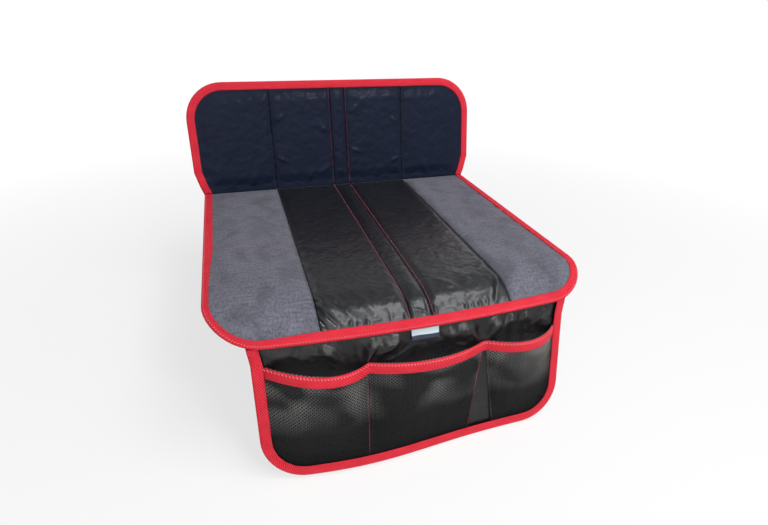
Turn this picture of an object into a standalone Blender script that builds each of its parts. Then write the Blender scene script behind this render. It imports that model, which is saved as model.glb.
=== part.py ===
"""Protector mat for a car seat: a padded seat pad, a padded back pad and a hanging flap with three net
pockets, cut flat as sewing patterns, laid over the form of a car seat and bound with woven tape.

Metres, +Z up. The origin is the middle of the seat pad's flat underside, +Y is towards the backrest.
"""

import math

import bmesh
import bpy
from mathutils import Vector

# Seat pad, as its flat pattern
SEAT_WIDTH = 0.480
SEAT_DEPTH = 0.417
SEAT_CORNER_RADIUS = 0.060

# How the seat pad lies: its front bulges in plan and rolls over the edge of the car seat
FRONT_BULGE = 0.015
FRONT_ROLL_LENGTH = 0.060
FRONT_ROLL_ANGLE = math.radians(42)

# Back pad, as its flat pattern: as wide as the seat pad at their hinge, and a little wider above it
BACK_WIDTH = SEAT_WIDTH + 0.023
BACK_HEIGHT = 0.185
BACK_CORNER_RADIUS = 0.060
BACK_TAPER_END = 0.042
BACK_RECLINE = math.radians(11.6)

# Sewn divisions that both pads share
CENTRE_STRIP_WIDTH = 0.026
BOLSTER_SEAM_X = 0.118

# Layers of the pads
BACKING_THICKNESS = 0.0008
FACE_THICKNESS = 0.0010
SEAT_PADDING_THICKNESS = 0.0078
BACK_PADDING_THICKNESS = 0.0060
SEWN_PADDING_THICKNESS = 0.0014
QUILTED_PADDING_SHARE = 0.42
SEWN_EDGE_LIFT = 0.0024
EDGE_RISE_WIDTH = 0.0220
SEAM_PINCH_WIDTH = 0.0100

# Binding tape and the clearances between touching pieces
TAPE_WIDTH = 0.0120
TAPE_THICKNESS = 0.0008
CONTACT_GAP = 0.0003
HINGE_GAP = 0.0004
WAVE_GAP = 0.0006
MITRE_BLEND = 0.020
SCORE_SNAP = 0.0008

# Hanging flap, as its flat pattern
FLAP_WIDTH = 0.390
FLAP_LENGTH = 0.172
FLAP_CORNER_RADIUS = 0.050
FLAP_FLARE = 0.003
FLAP_FLARE_LENGTH = 0.024
FLAP_THICKNESS = 0.0008
FLAP_SEAM_INSET = 0.0055
FLAP_SWING = math.radians(11.2)
FLAP_TWIST = -0.115
FLAP_WAVE_DEPTH = 0.0040
FLAP_WAVE_PITCH = 0.310
FLAP_WAVE_START = -0.006

# Net pockets on the flap: edges in x, how far each mouth stands open, and the line of the mouths
POCKET_EDGES = {
    "left": (-0.1905, -0.1905, -0.0670, -0.0703),
    "middle": (-0.0664, -0.0697, 0.0800, 0.0635),
    "right": (0.0838, 0.0980, 0.1905, 0.1905),
}
POCKET_BOWS = {"left": 0.026, "middle": 0.018, "right": 0.022}
MOUTH_DROP = 0.0385
MOUTH_RISE_LEFT = 0.0115
NET_THICKNESS = 0.0009
NET_CELL = 0.0195
NET_STRAND_SHARE = 0.17
NET_HEM = TAPE_WIDTH + 0.0010
NET_SEAM_INSET = 0.0040

# Folded tag sewn in under the front edge
TAG_WIDTH = 0.034
TAG_LENGTH = 0.019
TAG_THICKNESS = 0.0007
TAG_X = 0.003

# Heights of the layers above a pad's underside plane, at its sewn edge
EDGE_UNDER = SEWN_EDGE_LIFT
EDGE_OVER = EDGE_UNDER + BACKING_THICKNESS + SEWN_PADDING_THICKNESS + FACE_THICKNESS + 2 * CONTACT_GAP
TAPE_UNDER = EDGE_UNDER - CONTACT_GAP - TAPE_THICKNESS

# Heights of the layers in front of the flap's middle plane
PANEL_FRONT = FLAP_THICKNESS / 2
NET_ON_PANEL = PANEL_FRONT + WAVE_GAP
NET_UNDER_TAPE = PANEL_FRONT + WAVE_GAP + TAPE_THICKNESS + CONTACT_GAP

SEAT_REAR = SEAT_DEPTH / 2
SEAT_FRONT = -SEAT_DEPTH / 2
ROLL_RADIUS = FRONT_ROLL_LENGTH / FRONT_ROLL_ANGLE
TAPE_SAG = TAPE_WIDTH**2 / (8 * ROLL_RADIUS)
HINGE_MITRE = math.tan((math.pi / 2 - BACK_RECLINE) / 2)


def smooth(value, start, end):
    """0 before start, 1 after end, and an S-curve between them."""
    share = min(1.0, max(0.0, (value - start) / (end - start)))
    return share * share * (3 - 2 * share)


# Flat patterns


def arc(centre_x, centre_y, radius, start_deg, end_deg, steps):
    """Points of a circular arc, both ends included."""
    points = []
    for i in range(steps + 1):
        angle = math.radians(start_deg + (end_deg - start_deg) * i / steps)
        points.append(Vector((centre_x + radius * math.cos(angle), centre_y + radius * math.sin(angle))))
    return points


def seat_outline():
    """From the rear left corner, round the front, to the rear right corner."""
    side = SEAT_WIDTH / 2
    inner = side - SEAT_CORNER_RADIUS
    low = SEAT_FRONT + SEAT_CORNER_RADIUS
    rear = SEAT_REAR - HINGE_GAP / 2
    left = arc(-inner, low, SEAT_CORNER_RADIUS, 180, 270, 6)
    right = arc(inner, low, SEAT_CORNER_RADIUS, 270, 360, 6)
    return [Vector((-side, rear))] + left + right + [Vector((side, rear))]


def back_outline():
    """From the lower right corner, over the top, to the lower left corner."""
    side = BACK_WIDTH / 2
    hinge_side = SEAT_WIDTH / 2
    inner = side - BACK_CORNER_RADIUS
    high = BACK_HEIGHT - BACK_CORNER_RADIUS
    foot = HINGE_GAP / 2
    right = [Vector((hinge_side, foot)), Vector((side, BACK_TAPER_END))]
    left = [Vector((-p.x, p.y)) for p in reversed(right)]
    top = arc(inner, high, BACK_CORNER_RADIUS, 0, 90, 6) + arc(-inner, high, BACK_CORNER_RADIUS, 90, 180, 6)
    return right + top + left


def flap_outline():
    """From the upper left corner, round the bottom, to the upper right corner. y is minus the drop."""
    side = FLAP_WIDTH / 2
    inner = side - FLAP_CORNER_RADIUS
    low = FLAP_CORNER_RADIUS - FLAP_LENGTH
    left = [Vector((-side - FLAP_FLARE, 0)), Vector((-side, -FLAP_FLARE_LENGTH))]
    right = [Vector((-p.x, p.y)) for p in reversed(left)]
    bottom = arc(-inner, low, FLAP_CORNER_RADIUS, 180, 270, 6) + arc(inner, low, FLAP_CORNER_RADIUS, 270, 360, 6)
    return left + bottom + right


def edge_distance(outline, x, y, closed=True):
    """Distance from (x, y) to the nearest stretch of an outline."""
    here = Vector((x, y))
    ends = outline[1:] + outline[:1] if closed else outline[1:]
    nearest = 1.0
    for a, b in zip(outline, ends):
        along = b - a
        share = min(1.0, max(0.0, (here - a).dot(along) / along.length_squared))
        nearest = min(nearest, (here - a - along * share).length)
    return nearest


def score(pattern, faces, point, normal):
    """Divides the faces along a line."""
    edges = {edge for face in faces for edge in face.edges}
    verts = {vert for face in faces for vert in face.verts}
    geometry = list(verts) + list(edges) + list(faces)
    bmesh.ops.bisect_plane(pattern, geom=geometry, dist=SCORE_SNAP, plane_co=point, plane_no=normal)


def cut_pattern(outline, form, insets, x_lines, y_lines, y_reach=1.0):
    """A flat mesh of the outline with border strips of the inset widths, scored along x_lines and y_lines.

    The y_lines reach out to x = y_reach either side. The form that it will be laid with picks its diagonals.
    """
    pattern = bmesh.new()
    middle = pattern.faces.new([pattern.verts.new((p.x, p.y, 0)) for p in outline])
    middle.normal_update()
    if middle.normal.z < 0:
        middle.normal_flip()
    for inset in insets:
        bmesh.ops.inset_region(
            pattern, faces=[middle], thickness=inset, use_boundary=True, use_even_offset=True
        )
    for x in x_lines:
        score(pattern, pattern.faces[:], (x, 0, 0), (1, 0, 0))
    for y in y_lines:
        reached = [face for face in pattern.faces if abs(face.calc_center_median().x) < y_reach]
        score(pattern, reached, (0, y, 0), (0, 1, 0))
    divide_quads(pattern, form)
    return pattern


def divide_quads(mesh_data, form):
    """Splits each four-sided face along the diagonal that lies closer to the form."""
    mesh_data.normal_update()
    for face in [f for f in mesh_data.faces if len(f.verts) == 4]:
        a, b, c, d = face.verts
        middle = form(*(sum((v.co for v in face.verts), Vector()) / 4))
        first = ((form(*a.co) + form(*c.co)) / 2 - middle).length
        second = ((form(*b.co) + form(*d.co)) / 2 - middle).length
        if abs(first - second) < 1e-6:
            first, second = abs(a.co.y - c.co.y), abs(b.co.y - d.co.y)
        ends = (a, c) if first <= second else (b, d)
        bmesh.utils.face_split(face, *ends)
    bmesh.ops.triangulate(mesh_data, faces=mesh_data.faces[:])


def strip_of(pattern, start_x, end_x):
    """A copy of the pattern between two x lines."""
    strip = pattern.copy()
    for x, outward in ((start_x, -1), (end_x, 1)):
        geometry = strip.verts[:] + strip.edges[:] + strip.faces[:]
        bmesh.ops.bisect_plane(strip, geom=geometry, plane_co=(x, 0, 0), plane_no=(outward, 0, 0), clear_outer=True)
    bmesh.ops.triangulate(strip, faces=strip.faces[:])
    return strip


# Making solids from patterns


def finish(name, mesh_data, material, smooth_angle=math.radians(40)):
    """Turns a bmesh into a named object with one material."""
    bmesh.ops.recalc_face_normals(mesh_data, faces=mesh_data.faces[:])
    if mesh_data.calc_volume(signed=True) < 0:
        bmesh.ops.reverse_faces(mesh_data, faces=mesh_data.faces[:])
    mesh = bpy.data.meshes.new(name)
    mesh_data.to_mesh(mesh)
    mesh_data.free()
    mesh.materials.append(material)
    mesh.shade_smooth()
    mesh.set_sharp_from_angle(angle=smooth_angle)
    thing = bpy.data.objects.new(name, mesh)
    bpy.context.scene.collection.objects.link(thing)
    return thing


def laid_sheet(name, pattern, form, under, over, material):
    """Thickens a pattern from height under(x, y) to over(x, y) and lays it with form(x, y, height)."""
    lower_faces = pattern.faces[:]
    grown = bmesh.ops.extrude_face_region(pattern, geom=lower_faces, use_keep_orig=True)["geom"]
    upper = {v for v in grown if isinstance(v, bmesh.types.BMVert)}
    for v in pattern.verts:
        height = over(v.co.x, v.co.y) if v in upper else under(v.co.x, v.co.y)
        v.co = form(v.co.x, v.co.y, height)
    return finish(name, pattern, material)


def path_frames(path, cut_line, parallel):
    """For each point of an open path, the point and the direction inwards of a section through the tape there.

    A section is square to the path, but lies on cut_line at both ends, or everywhere if the sections are parallel.
    """
    frames = []
    for i, point in enumerate(path):
        before = path[max(0, i - 1)]
        after = path[min(len(path) - 1, i + 1)]
        first = (point - before).normalized() if i else (after - point).normalized()
        last = (after - point).normalized() if i < len(path) - 1 else first
        normal_a = Vector((-first.y, first.x))
        normal_b = Vector((-last.y, last.x))
        normal = (normal_a + normal_b).normalized()
        if parallel or i in (0, len(path) - 1):
            normal = cut_line * math.copysign(1, cut_line.dot(normal_a))
        frames.append((point, normal / (1 if parallel else max(0.5, normal.dot(normal_a)))))
    return frames


def scored(path, x_lines, y_lines):
    """The path with a point wherever it crosses one of the lines, as in a scored pattern."""
    points = [path[0]]
    for a, b in zip(path, path[1:]):
        shares = [(x - a.x) / (b.x - a.x) for x in x_lines if abs(b.x - a.x) > 1e-6]
        shares += [(y - a.y) / (b.y - a.y) for y in y_lines if abs(b.y - a.y) > 1e-6]
        margin = 0.001 / (b - a).length
        points += [a.lerp(b, share) for share in sorted(shares) if margin < share < 1 - margin]
        points.append(b)
    return points


def fold_section(under, over):
    """Cross-section of tape folded round an edge, as (distance inwards, height) points."""
    low, high = under - CONTACT_GAP, over + CONTACT_GAP
    fold, thick, rounding = -CONTACT_GAP - TAPE_THICKNESS, TAPE_THICKNESS, 0.7 * TAPE_THICKNESS
    outer = [
        (TAPE_WIDTH, high + thick),
        (fold + rounding, high + thick),
        (fold, high + thick - rounding),
        (fold, low - thick + rounding),
        (fold + rounding, low - thick),
        (TAPE_WIDTH, low - thick),
    ]
    return outer + [(TAPE_WIDTH, low), (-CONTACT_GAP, low), (-CONTACT_GAP, high), (TAPE_WIDTH, high)]


def folded_tape(name, path, section, form, material, cut_line=Vector((1, 0)), parallel=False):
    """Tape folded over an edge: its section is swept along the path, with the fold on the outside."""
    tape = bmesh.new()
    rings = []
    for point, inwards in path_frames(path, cut_line, parallel):
        places = [(point.x + inwards.x * d, point.y + inwards.y * d, h) for d, h in section]
        rings.append([tape.verts.new(place) for place in places])
    count = len(rings[0])
    for ring, following in zip(rings, rings[1:]):
        for i in range(count):
            j = (i + 1) % count
            tape.faces.new((ring[i], ring[j], following[j], following[i]))
    tape.faces.new(rings[0])
    tape.faces.new(list(reversed(rings[-1])))
    divide_quads(tape, form)
    for vert in tape.verts:
        vert.co = form(*vert.co)
    return finish(name, tape, material)


def fabric(name, colour, roughness):
    """A plain cloth or plastic colour."""
    material = bpy.data.materials.new(name)
    material.use_nodes = True
    shader = material.node_tree.nodes["Principled BSDF"]
    shader.inputs["Base Color"].default_value = (*colour, 1)
    shader.inputs["Roughness"].default_value = roughness
    shader.inputs["Metallic"].default_value = 0
    return material


# Forms: where a point of a pattern, at a height, comes to lie


def seat_form(x, y, height):
    """The seat pad lies flat, mitred at its rear, bulged in plan and rolled down at its front."""
    bulge = FRONT_BULGE * (1 - (2 * x / SEAT_WIDTH) ** 2) * smooth(-y, 0, -SEAT_FRONT)
    mitre = HINGE_MITRE * height * smooth(y, SEAT_REAR - MITRE_BLEND, SEAT_REAR)
    roll = (SEAT_FRONT + FRONT_ROLL_LENGTH - y) / ROLL_RADIUS
    if roll <= 0:
        return Vector((x, y - bulge - mitre, height))
    rolled_y = SEAT_FRONT + FRONT_ROLL_LENGTH - (ROLL_RADIUS + height) * math.sin(roll)
    return Vector((x, rolled_y - bulge, (ROLL_RADIUS + height) * math.cos(roll) - ROLL_RADIUS))


def back_form(x, y, height):
    """The back pad leans on the backrest. Its height counts forwards from its rear face."""
    up = y + HINGE_MITRE * height * smooth(-y, -MITRE_BLEND, 0)
    lean, rise = math.sin(BACK_RECLINE), math.cos(BACK_RECLINE)
    return Vector((x, SEAT_REAR + up * lean - height * rise, up * rise + height * lean))


def flap_wave(x, drop):
    """Depth of the soft waves that the flap hangs in."""
    across = math.sin(2 * math.pi * (FLAP_WAVE_START - x) / FLAP_WAVE_PITCH)
    return FLAP_WAVE_DEPTH * across * smooth(drop, 0.005, FLAP_LENGTH)


def flap_form(x, y, height):
    """The flap hangs from the tape under the seat pad's rolled front edge, its top cut parallel to that tape."""
    drop = -y
    seam = seat_form(x, SEAT_FRONT + FLAP_SEAM_INSET, TAPE_UNDER - TAPE_SAG)
    swing = FLAP_SWING + FLAP_TWIST * x
    down = Vector((0, -math.sin(swing), -math.cos(swing)))
    forwards = Vector((0, -math.cos(swing), math.sin(swing)))
    tape_slope = math.pi / 2 - swing - FRONT_ROLL_ANGLE * (1 - FLAP_SEAM_INSET / FRONT_ROLL_LENGTH)
    gap = CONTACT_GAP / math.sin(tape_slope)
    mitre = height / math.tan(tape_slope) * smooth(-drop, -MITRE_BLEND, 0)
    return seam + down * (drop + gap + mitre) + forwards * (height + flap_wave(x, drop))


# Layer heights of a pad


class Pad:
    """A padded panel: backing, padding and face cloth squeezed together along the edge and the seams."""

    def __init__(self, outline, padding_thickness):
        self.outline = outline
        self.padding_thickness = padding_thickness

    def underside(self, x, y):
        """The backing is flat, and lifts where the edge is sewn together."""
        inside = edge_distance(self.outline, x, y) - TAPE_WIDTH
        return SEWN_EDGE_LIFT * (1 - min(1.0, max(0.0, inside / EDGE_RISE_WIDTH)))

    def backing_top(self, x, y):
        return self.underside(x, y) + BACKING_THICKNESS

    def padding_under(self, x, y):
        return self.backing_top(x, y) + CONTACT_GAP

    def padding_top(self, x, y):
        """Padding is full between the seams, and squeezed at them and along the edge."""
        edge = smooth(edge_distance(self.outline, x, y), TAPE_WIDTH, TAPE_WIDTH + EDGE_RISE_WIDTH)
        nearest = min(abs(abs(x) - seam) for seam in (CENTRE_STRIP_WIDTH / 2, BOLSTER_SEAM_X))
        pinch = QUILTED_PADDING_SHARE + (1 - QUILTED_PADDING_SHARE) * smooth(nearest, 0, SEAM_PINCH_WIDTH)
        full = self.padding_thickness - SEWN_PADDING_THICKNESS
        return self.padding_under(x, y) + SEWN_PADDING_THICKNESS + full * edge * pinch

    def face_under(self, x, y):
        return self.padding_top(x, y) + CONTACT_GAP

    def face_top(self, x, y):
        return self.face_under(x, y) + FACE_THICKNESS


def seam_scores():
    """x lines where a pad's surface bends: at each seam and beside it."""
    strip = CENTRE_STRIP_WIDTH / 2
    half = [strip, strip + SEAM_PINCH_WIDTH, BOLSTER_SEAM_X - SEAM_PINCH_WIDTH, BOLSTER_SEAM_X]
    half.append(BOLSTER_SEAM_X + SEAM_PINCH_WIDTH)
    return [-x for x in reversed(half)] + [0.0] + half


def make_pad(prefix, pad, form, x_lines, y_lines, materials):
    """Backing, padding and the five face panels of one pad."""
    y_reach = max(x_lines)
    pattern = cut_pattern(pad.outline, form, [TAPE_WIDTH, EDGE_RISE_WIDTH], x_lines, y_lines, y_reach)
    laid_sheet(prefix + "_backing", pattern.copy(), form, pad.underside, pad.backing_top, materials["backing"])
    laid_sheet(prefix + "_padding", pattern.copy(), form, pad.padding_under, pad.padding_top, materials["padding"])
    seams = [-1.0, -BOLSTER_SEAM_X, -CENTRE_STRIP_WIDTH / 2, CENTRE_STRIP_WIDTH / 2, BOLSTER_SEAM_X, 1.0]
    names = ["left_bolster", "left_panel", "centre_strip", "right_panel", "right_bolster"]
    for name, start, end in zip(names, seams, seams[1:]):
        strip = strip_of(pattern, start + CONTACT_GAP / 2, end - CONTACT_GAP / 2)
        cloth = materials["outer" if "bolster" in name else "leatherette"]
        laid_sheet(f"{prefix}_{name}", strip, form, pad.face_under, pad.face_top, cloth)
    pattern.free()


# Flap and its pockets


def mouth_line(x):
    """Drop of the pocket mouths at x: level, and rising towards the left-hand edge."""
    return MOUTH_DROP - MOUTH_RISE_LEFT * smooth(-x, -POCKET_EDGES["left"][2], FLAP_WIDTH / 2)


def flap_side(drop, margin):
    """Half the width of the flap at a drop, less a margin, round its lower corners."""
    radius = FLAP_CORNER_RADIUS - margin
    past = max(0.0, min(radius, drop - (FLAP_LENGTH - FLAP_CORNER_RADIUS)))
    return FLAP_WIDTH / 2 - FLAP_CORNER_RADIUS + math.sqrt(radius**2 - past**2)


def pocket_sides(pocket, drop):
    """Left and right x of a pocket's net at a drop: the flap's own edge, or a seam that may lean."""
    left_top, left_foot, right_top, right_foot = POCKET_EDGES[pocket]
    share = (drop - MOUTH_DROP) / (FLAP_LENGTH - MOUTH_DROP)
    left = left_top + (left_foot - left_top) * share
    right = right_top + (right_foot - right_top) * share
    limit = flap_side(drop, NET_SEAM_INSET)
    return max(left, -limit), min(right, limit)


def free_sides(pocket, drop):
    """Left and right x between which a net is free to stand off the flap."""
    left, right = pocket_sides(pocket, drop)
    limit = flap_side(drop, NET_HEM)
    return max(left, -limit), min(right, limit)


def pocket_bow(x, drop):
    """How far the nets stand off the flap at a point."""
    for pocket, depth in POCKET_BOWS.items():
        left, right = free_sides(pocket, drop)
        if left < x < right:
            across = 1 - ((2 * x - left - right) / (right - left)) ** 2
            return depth * across * (1 - smooth(drop, MOUTH_DROP, FLAP_LENGTH - TAPE_WIDTH) ** 2)
    return 0.0


def net_rear(x, y):
    """Height of the nets' rear face: on the panel at their seams, spaced out where tape passes behind."""
    drop = -y
    edge = edge_distance(FLAP_OUTLINE, x, y, closed=False)
    near_edge = 1 - smooth(edge, TAPE_WIDTH + 0.002, TAPE_WIDTH + 0.010)
    near_mouth = 1 - smooth(drop - mouth_line(x), TAPE_WIDTH + 0.002, TAPE_WIDTH + 0.012)
    spaced = max(near_edge, near_mouth)
    return NET_ON_PANEL + (NET_UNDER_TAPE - NET_ON_PANEL) * spaced + pocket_bow(x, drop)


def net_front(x, y):
    return net_rear(x, y) + NET_THICKNESS


def net_form(x, y, height):
    """Lays a point over the nets, its height counted from their rear face."""
    return flap_form(x, y, net_rear(x, y) + height)


def lattice_columns(pocket):
    """x of the net's strand crossings along the pocket's mouth."""
    left, right = free_sides(pocket, MOUTH_DROP + NET_HEM)
    columns = round((right - left) / NET_CELL)
    return [left + (right - left) * i / columns for i in range(columns + 1)]


def make_net(pocket, material):
    """A pocket's net: a lattice of diamond gaps in a plain hem that the tapes cover, bowed off the flap."""
    columns = len(lattice_columns(pocket)) - 1
    head = MOUTH_DROP + NET_HEM
    foot = FLAP_LENGTH - NET_HEM
    rows = round((foot - head) / NET_CELL)
    last_i, last_j = 2 * columns, 2 * rows
    net = bmesh.new()

    def crossing(i, j):
        """Lattice point i half-cells across and j half-cells down, in the pattern."""
        drop = head + (foot - head) * j / last_j
        left, right = free_sides(pocket, drop)
        x = left + (right - left) * i / last_i
        return Vector((x, -drop - (mouth_line(x) - MOUTH_DROP) * (1 - j / last_j), 0))

    nodes = {
        (i, j): net.verts.new(crossing(i, j))
        for i in range(last_i + 1)
        for j in range(last_j + 1)
        if (i + j) % 2 == 0
    }
    diamonds = []
    for j in range(last_j + 1):
        for i in range(1 - j % 2, last_i + 1, 2):
            around = [(i, j - 1), (i - 1, j), (i, j + 1), (i + 1, j)]
            ring = [nodes[p] for p in around if p in nodes]
            face = net.faces.new(ring)
            if len(ring) == 4:
                diamonds.append(face)
    net.normal_update()
    bmesh.ops.inset_individual(net, faces=diamonds, thickness=NET_STRAND_SHARE * NET_CELL / 2)
    bmesh.ops.delete(net, geom=diamonds, context="FACES")

    tops = [nodes[i, 0] for i in range(0, last_i + 1, 2)]
    feet = [nodes[i, last_j] for i in range(0, last_i + 1, 2)]
    mouth = [net.verts.new((v.co.x, -mouth_line(v.co.x), 0)) for v in tops]
    floor = [net.verts.new((v.co.x, NET_SEAM_INSET - FLAP_LENGTH, 0)) for v in feet]
    add_band(net, tops, mouth)
    add_band(net, feet, floor)
    if pocket != "middle":
        side = -1 if pocket == "left" else 1
        end = 0 if pocket == "left" else -1
        inner = [nodes[0 if end == 0 else last_i, j] for j in range(0, last_j + 1, 2)]
        outer = [net.verts.new((side * flap_side(-v.co.y, NET_SEAM_INSET), v.co.y, 0)) for v in inner]
        add_band(net, inner, outer)
        top_corner = net.verts.new((outer[0].co.x, -mouth_line(outer[0].co.x), 0))
        net.faces.new((top_corner, outer[0], inner[0], mouth[end]))
        centre = Vector((side * (FLAP_WIDTH / 2 - FLAP_CORNER_RADIUS), FLAP_CORNER_RADIUS - FLAP_LENGTH, 0))
        towards = ((outer[-1].co + floor[end].co) / 2 - centre).normalized()
        low_corner = net.verts.new(centre + towards * (FLAP_CORNER_RADIUS - NET_SEAM_INSET))
        net.faces.new((outer[-1], low_corner, floor[end], inner[-1]))
    bmesh.ops.recalc_face_normals(net, faces=net.faces[:])
    divide_quads(net, flap_form)
    laid_sheet(f"pocket_net_{pocket}", net, flap_form, net_rear, net_front, material)


def add_band(net, inner, outer):
    """A row of faces between two rows of points."""
    for a, b, c, d in zip(inner, inner[1:], outer[1:], outer):
        net.faces.new((a, b, c, d))


def make_flap(materials):
    """The flap's panel, its nets, the tape round it, the tape along the pocket mouths and the tag."""
    side = FLAP_WIDTH / 2
    x_lines = [-side + FLAP_WIDTH * i / 16 for i in range(1, 16)]
    y_lines = [-FLAP_LENGTH * share for share in (0.17, 0.34, 0.53, 0.76)]
    panel = cut_pattern(FLAP_OUTLINE, flap_form, [TAPE_WIDTH], x_lines, y_lines)
    laid_sheet(
        "flap_panel", panel, flap_form, lambda x, y: -PANEL_FRONT, lambda x, y: PANEL_FRONT, materials["leatherette"]
    )
    for pocket in POCKET_EDGES:
        make_net(pocket, materials["net"])

    rim = fold_section(-PANEL_FRONT, NET_UNDER_TAPE + NET_THICKNESS)
    edge = scored(FLAP_OUTLINE, x_lines, y_lines)
    folded_tape("flap_binding", edge, rim, flap_form, materials["tape"])

    end = side - TAPE_WIDTH - CONTACT_GAP
    across = {end, -end}.union(*(lattice_columns(pocket) for pocket in POCKET_EDGES))
    across = [x for x in sorted(across, reverse=True) if abs(x) <= end]
    mouths = [Vector((x, -mouth_line(x))) for x in across]
    hem = fold_section(0, NET_THICKNESS)
    folded_tape("pocket_binding", mouths, hem, net_form, materials["tape"], Vector((0, 1)), parallel=True)

    tag_rear = PANEL_FRONT + WAVE_GAP
    corners = [(TAG_X - TAG_WIDTH / 2, 0), (TAG_X + TAG_WIDTH / 2, 0)]
    corners += [(x, -TAG_LENGTH) for x, _ in reversed(corners)]
    tag = cut_pattern([Vector(c) for c in corners], flap_form, [], [TAG_X], [-TAG_LENGTH / 2])
    laid_sheet(
        "folded_tag", tag, flap_form, lambda x, y: tag_rear, lambda x, y: tag_rear + TAG_THICKNESS, materials["tag"]
    )


FLAP_OUTLINE = flap_outline()


def main():
    for thing in list(bpy.data.objects):
        bpy.data.objects.remove(thing)
    materials = {
        "bolster": fabric("bolster_cloth", (0.150, 0.147, 0.178), 0.85),
        "leatherette": fabric("black_leatherette", (0.012, 0.014, 0.019), 0.38),
        "tape": fabric("red_tape", (0.68, 0.030, 0.050), 0.70),
        "padding": fabric("foam_padding", (0.45, 0.45, 0.43), 0.95),
        "backing": fabric("non_slip_backing", (0.030, 0.030, 0.032), 0.80),
        "net": fabric("black_net", (0.020, 0.021, 0.022), 0.60),
        "tag": fabric("woven_tag", (0.62, 0.78, 0.86), 0.70),
    }

    rim = fold_section(EDGE_UNDER, EDGE_OVER)
    x_lines = seam_scores()

    seat = Pad(seat_outline(), SEAT_PADDING_THICKNESS)
    corner_x = SEAT_WIDTH / 2 - SEAT_CORNER_RADIUS
    middle_x = (CENTRE_STRIP_WIDTH / 2 + BOLSTER_SEAM_X) / 2
    seat_lines = [-corner_x, -middle_x] + x_lines + [middle_x, corner_x]
    roll_lines = [SEAT_FRONT + TAPE_WIDTH + EDGE_RISE_WIDTH / 2, SEAT_FRONT + FRONT_ROLL_LENGTH]
    make_pad("seat", seat, seat_form, seat_lines, roll_lines, materials | {"outer": materials["bolster"]})
    seat_edge = scored(seat.outline, seat_lines, [SEAT_REAR - MITRE_BLEND])
    folded_tape("seat_binding", seat_edge, rim, seat_form, materials["tape"])

    back = Pad(back_outline(), BACK_PADDING_THICKNESS)
    make_pad("back", back, back_form, x_lines, [], materials | {"outer": materials["leatherette"]})
    back_edge = scored(back.outline, [-0.10, 0.0, 0.10], [])
    folded_tape("back_binding", back_edge, rim, back_form, materials["tape"])
    make_flap(materials)


main()
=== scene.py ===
import math

import bpy
import numpy
from mathutils import Matrix, Vector, noise
from mathutils.bvhtree import BVHTree


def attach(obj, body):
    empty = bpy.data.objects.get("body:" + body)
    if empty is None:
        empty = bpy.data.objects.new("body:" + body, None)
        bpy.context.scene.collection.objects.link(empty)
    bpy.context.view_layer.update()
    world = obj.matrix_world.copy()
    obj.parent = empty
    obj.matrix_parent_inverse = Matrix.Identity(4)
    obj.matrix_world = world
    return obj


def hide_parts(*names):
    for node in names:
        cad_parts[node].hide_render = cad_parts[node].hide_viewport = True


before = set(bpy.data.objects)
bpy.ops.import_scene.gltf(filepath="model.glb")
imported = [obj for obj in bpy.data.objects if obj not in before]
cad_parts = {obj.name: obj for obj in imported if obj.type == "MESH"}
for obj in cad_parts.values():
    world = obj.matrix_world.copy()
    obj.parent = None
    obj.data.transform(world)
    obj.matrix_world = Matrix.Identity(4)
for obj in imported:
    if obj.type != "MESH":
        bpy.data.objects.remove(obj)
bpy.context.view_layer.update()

# The camera, where the photograph's camera stood: in front of the mat, to its left and above it,
# with a wide lens and level within a degree and a half.
CAMERA_PLACE = (-0.1867, -0.6422, 0.3164)
AZIMUTH, ELEVATION, CAMERA_ROLL = -0.3121, 0.5018, 0.0294
FOCAL_PIXELS, PICTURE_WIDTH, FILM_WIDTH = 489.45, 768, 36
back_axis = Vector((
    math.sin(AZIMUTH) * math.cos(ELEVATION), -math.cos(AZIMUTH) * math.cos(ELEVATION), math.sin(ELEVATION)
))
right_axis = Vector((0, 0, 1)).cross(back_axis).normalized()
up_axis = back_axis.cross(right_axis)
turned_right = math.cos(CAMERA_ROLL) * right_axis + math.sin(CAMERA_ROLL) * up_axis
turned_up = math.cos(CAMERA_ROLL) * up_axis - math.sin(CAMERA_ROLL) * right_axis


def new_object(name, data):
    """Puts a new object in the scene."""
    thing = bpy.data.objects.new(name, data)
    bpy.context.scene.collection.objects.link(thing)
    return thing


camera = new_object("camera", bpy.data.cameras.new("camera"))
camera.matrix_world = Matrix.Translation(CAMERA_PLACE) @ Matrix(
    (turned_right, turned_up, back_axis)
).transposed().to_4x4()
camera.data.sensor_width = FILM_WIDTH
camera.data.lens = FILM_WIDTH * FOCAL_PIXELS / PICTURE_WIDTH
camera.data.clip_start = 0.01
bpy.context.scene.camera = camera

# Seat backing: the mat's underside, a tough black cloth printed with small rubber dots that grip the car
# seat. It is cut to the seat pad's outline, lies flat, and lifts at its edge where the tape takes it in.
SEAT_WIDTH, SEAT_DEPTH, SEAT_CORNER = 0.480, 0.417, 0.060
FRONT_BULGE, ROLL_LENGTH, ROLL_ANGLE = 0.015, 0.060, math.radians(42)
ROLL_RADIUS = ROLL_LENGTH / ROLL_ANGLE
RECLINE = math.radians(11.6)
HINGE_MITRE = math.tan((math.pi / 2 - RECLINE) / 2)
TAPE_WIDTH, EDGE_RISE, EDGE_LIFT = 0.0120, 0.0220, 0.0024
SEAT_REAR, SEAT_FRONT = SEAT_DEPTH / 2, -SEAT_DEPTH / 2
HINGE_GAP = 0.0002
BACKING_CELL, BACKING_LIFT, BACKING_THICKNESS = 0.006, 0.0008, 0.0007


def smooth(value, start, end):
    """0 before start, 1 after end, and an S-curve between them."""
    share = min(1.0, max(0.0, (value - start) / (end - start)))
    return share * share * (3 - 2 * share)


def arc(x, y, radius, start, end, steps=12):
    """Points of an arc between two angles in degrees."""
    angles = [math.radians(start + (end - start) * i / steps) for i in range(steps + 1)]
    return [Vector((x + radius * math.cos(a), y + radius * math.sin(a))) for a in angles]


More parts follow.
